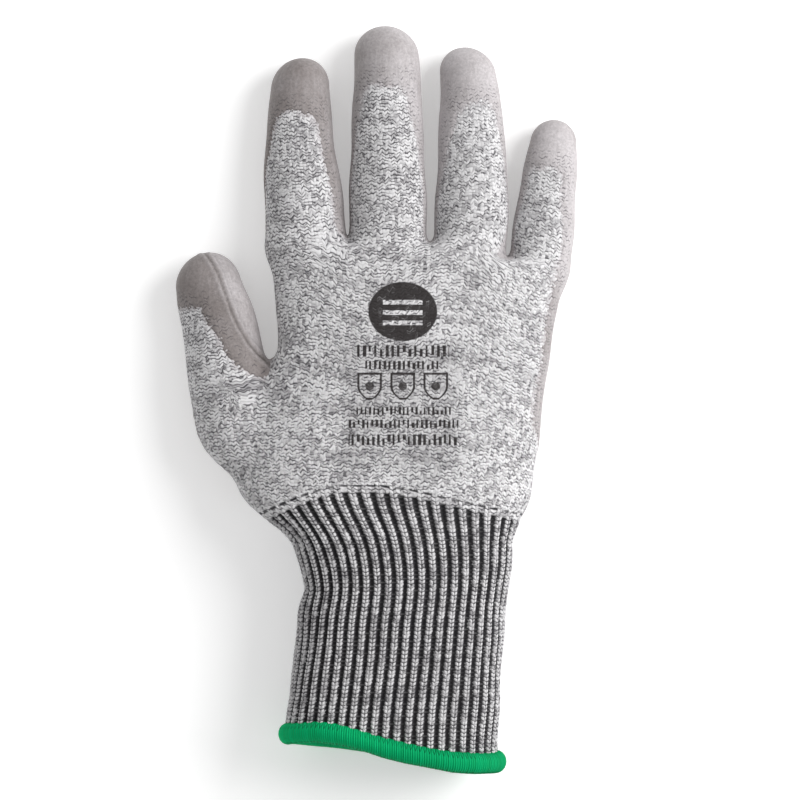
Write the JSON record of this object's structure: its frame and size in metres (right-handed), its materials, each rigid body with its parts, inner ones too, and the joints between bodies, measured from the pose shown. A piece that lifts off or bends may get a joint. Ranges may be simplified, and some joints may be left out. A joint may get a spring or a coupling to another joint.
{
  "type": "cut resistant glove",
  "caption": "Seamless knitted work glove for the right hand with a thin film on the palm and fingertips, a long ribbed cuff and an overlocked hem.",
  "frame": {"origin": "middle of the palm, on the flat underside that the glove lies on", "axes": "+Y to the fingertips, +X to the little finger's side, +Z out of the back of the hand"},
  "size_m": [0.1341, 0.2473, 0.0448],
  "materials": {
    "hand_knit": "salt and pepper plain knit, matt",
    "palm_film": "thin matt polyurethane film",
    "rib_knit": "dark and light grey 1x1 rib knit, matt",
    "elastic_thread": "covered elastic thread",
    "hem_thread": "green overlock thread"
  },
  "bodies": {
    "palm": {"knit_palm": "hand_knit", "coating_palm": "palm_film", "cuff_rib_upper": "rib_knit", "fold_knuckles": "hand_knit", "fold_wrist": "rib_knit", "fold_thumb_base": "hand_knit"},
    "finger_panel": {"knit_finger_panel": "hand_knit", "coating_finger_panel": "palm_film", "fold_index_base": "hand_knit", "fold_middle_base": "hand_knit", "fold_ring_base": "hand_knit", "fold_little_base": "hand_knit"},
    "cuff": {"cuff_rib": "rib_knit", "cuff_elastic": "elastic_thread", "hem_binding": "hem_thread"},
    "index_base": {"knit_index_base": "hand_knit", "coating_index_base": "palm_film", "fold_index_middle": "hand_knit"},
    "index_middle": {"knit_index_middle": "hand_knit", "coating_index_middle": "palm_film", "fold_index_tip": "hand_knit"},
    "index_tip": {"knit_index_tip": "hand_knit", "coating_index_tip": "palm_film"},
    "middle_base": {"knit_middle_base": "hand_knit", "coating_middle_base": "palm_film", "fold_middle_middle": "hand_knit"},
    "middle_middle": {"knit_middle_middle": "hand_knit", "coating_middle_middle": "palm_film", "fold_middle_tip": "hand_knit"},
    "middle_tip": {"knit_middle_tip": "hand_knit", "coating_middle_tip": "palm_film"},
    "ring_base": {"knit_ring_base": "hand_knit", "coating_ring_base": "palm_film", "fold_ring_middle": "hand_knit"},
    "ring_middle": {"knit_ring_middle": "hand_knit", "coating_ring_middle": "palm_film", "fold_ring_tip": "hand_knit"},
    "ring_tip": {"knit_ring_tip": "hand_knit", "coating_ring_tip": "palm_film"},
    "little_base": {"knit_little_base": "hand_knit", "coating_little_base": "palm_film", "fold_little_middle": "hand_knit"},
    "little_middle": {"knit_little_middle": "hand_knit", "coating_little_middle": "palm_film", "fold_little_tip": "hand_knit"},
    "little_tip": {"knit_little_tip": "hand_knit", "coating_little_tip": "palm_film"},
    "thumb_base": {"knit_thumb_base": "hand_knit", "coating_thumb_base": "palm_film", "fold_thumb_tip": "hand_knit"},
    "thumb_tip": {"knit_thumb_tip": "hand_knit", "coating_thumb_tip": "palm_film"}
  },
  "joints": [
    {"name": "wrist_bend", "type": "hinge", "parent": "palm", "child": "cuff", "pos_m": [0, -0.053, 0.02], "axis": [1, 0, 0], "range_deg": [-40, 40], "stiffness_Nm_per_rad": 0.02, "deforming": ["fold_wrist"]},
    {"name": "knuckle_bend", "type": "hinge", "parent": "palm", "child": "finger_panel", "pos_m": [0, 0.031, 0.01], "axis": [-1, 0, 0], "range_deg": [-10, 45], "stiffness_Nm_per_rad": 0.02, "deforming": ["fold_knuckles"]},
    {"name": "index_base_bend", "type": "hinge", "parent": "finger_panel", "child": "index_base", "pos_m": [-0.02898, 0.0615, 0.00754], "axis": [-0.9994, -0.0343, 0], "range_deg": [-5, 45], "stiffness_Nm_per_rad": 0.004, "deforming": ["fold_index_base"]},
    {"name": "index_middle_bend", "type": "hinge", "parent": "index_base", "child": "index_middle", "pos_m": [-0.02961, 0.07998, 0.00698], "axis": [-0.9994, -0.0343, 0], "range_deg": [0, 80], "stiffness_Nm_per_rad": 0.004, "deforming": ["fold_index_middle"]},
    {"name": "index_tip_bend", "type": "hinge", "parent": "index_middle", "child": "index_tip", "pos_m": [-0.03018, 0.09648, 0.00636], "axis": [-0.9994, -0.0343, 0], "range_deg": [0, 36], "stiffness_Nm_per_rad": 0.004, "deforming": ["fold_index_tip"]},
    {"name": "middle_base_bend", "type": "hinge", "parent": "finger_panel", "child": "middle_base", "pos_m": [-0.00182, 0.0615, 0.00769], "axis": [-1, -0.0028, 0], "range_deg": [-5, 45], "stiffness_Nm_per_rad": 0.004, "deforming": ["fold_middle_base"]},
    {"name": "middle_middle_bend", "type": "hinge", "parent": "middle_base", "child": "middle_middle", "pos_m": [-0.00189, 0.0845, 0.00726], "axis": [-1, -0.0028, 0], "range_deg": [0, 80], "stiffness_Nm_per_rad": 0.004, "deforming": ["fold_middle_middle"]},
    {"name": "middle_tip_bend", "type": "hinge", "parent": "middle_middle", "child": "middle_tip", "pos_m": [-0.00194, 0.105, 0.00695], "axis": [-1, -0.0028, 0], "range_deg": [0, 36], "stiffness_Nm_per_rad": 0.004, "deforming": ["fold_middle_tip"]},
    {"name": "ring_base_bend", "type": "hinge", "parent": "finger_panel", "child": "ring_base", "pos_m": [0.02618, 0.0605, 0.00706], "axis": [-1, -0.003, 0], "range_deg": [-5, 45], "stiffness_Nm_per_rad": 0.004, "deforming": ["fold_ring_base"]},
    {"name": "ring_middle_bend", "type": "hinge", "parent": "ring_base", "child": "ring_middle", "pos_m": [0.02611, 0.081, 0.00684], "axis": [-1, -0.003, 0], "range_deg": [0, 80], "stiffness_Nm_per_rad": 0.004, "deforming": ["fold_ring_middle"]},
    {"name": "ring_tip_bend", "type": "hinge", "parent": "ring_middle", "child": "ring_tip", "pos_m": [0.02606, 0.0995, 0.00643], "axis": [-1, -0.003, 0], "range_deg": [0, 36], "stiffness_Nm_per_rad": 0.004, "deforming": ["fold_ring_tip"]},
    {"name": "little_base_bend", "type": "hinge", "parent": "finger_panel", "child": "little_base", "pos_m": [0.05056, 0.05396, 0.00599], "axis": [-0.9941, 0.1083, 0], "range_deg": [-5, 45], "stiffness_Nm_per_rad": 0.002, "deforming": ["fold_little_base"]},
    {"name": "little_middle_bend", "type": "hinge", "parent": "little_base", "child": "little_middle", "pos_m": [0.05208, 0.06788, 0.00568], "axis": [-0.9941, 0.1083, 0], "range_deg": [0, 80], "stiffness_Nm_per_rad": 0.002, "deforming": ["fold_little_middle"]},
    {"name": "little_tip_bend", "type": "hinge", "parent": "little_middle", "child": "little_tip", "pos_m": [0.05343, 0.0803, 0.00519], "axis": [-0.9941, 0.1083, 0], "range_deg": [0, 36], "stiffness_Nm_per_rad": 0.002, "deforming": ["fold_little_tip"]},
    {"name": "thumb_base_bend", "type": "hinge", "parent": "palm", "child": "thumb_base", "pos_m": [-0.05552, 0.01704, 0.00793], "axis": [-0.9122, -0.1659, -0.3746], "range_deg": [-10, 20], "stiffness_Nm_per_rad": 0.004, "deforming": ["fold_thumb_base"]},
    {"name": "thumb_tip_bend", "type": "hinge", "parent": "thumb_base", "child": "thumb_tip", "pos_m": [-0.0583, 0.03178, 0.00719], "axis": [-0.9122, -0.1659, -0.3746], "range_deg": [0, 50], "stiffness_Nm_per_rad": 0.004, "deforming": ["fold_thumb_tip"]}
  ],
  "couplings": [
    {"joint": "index_tip_bend", "follows": "index_middle_bend", "ratio": 0.45},
    {"joint": "middle_tip_bend", "follows": "middle_middle_bend", "ratio": 0.45},
    {"joint": "ring_tip_bend", "follows": "ring_middle_bend", "ratio": 0.45},
    {"joint": "little_tip_bend", "follows": "little_middle_bend", "ratio": 0.45}
  ]
}
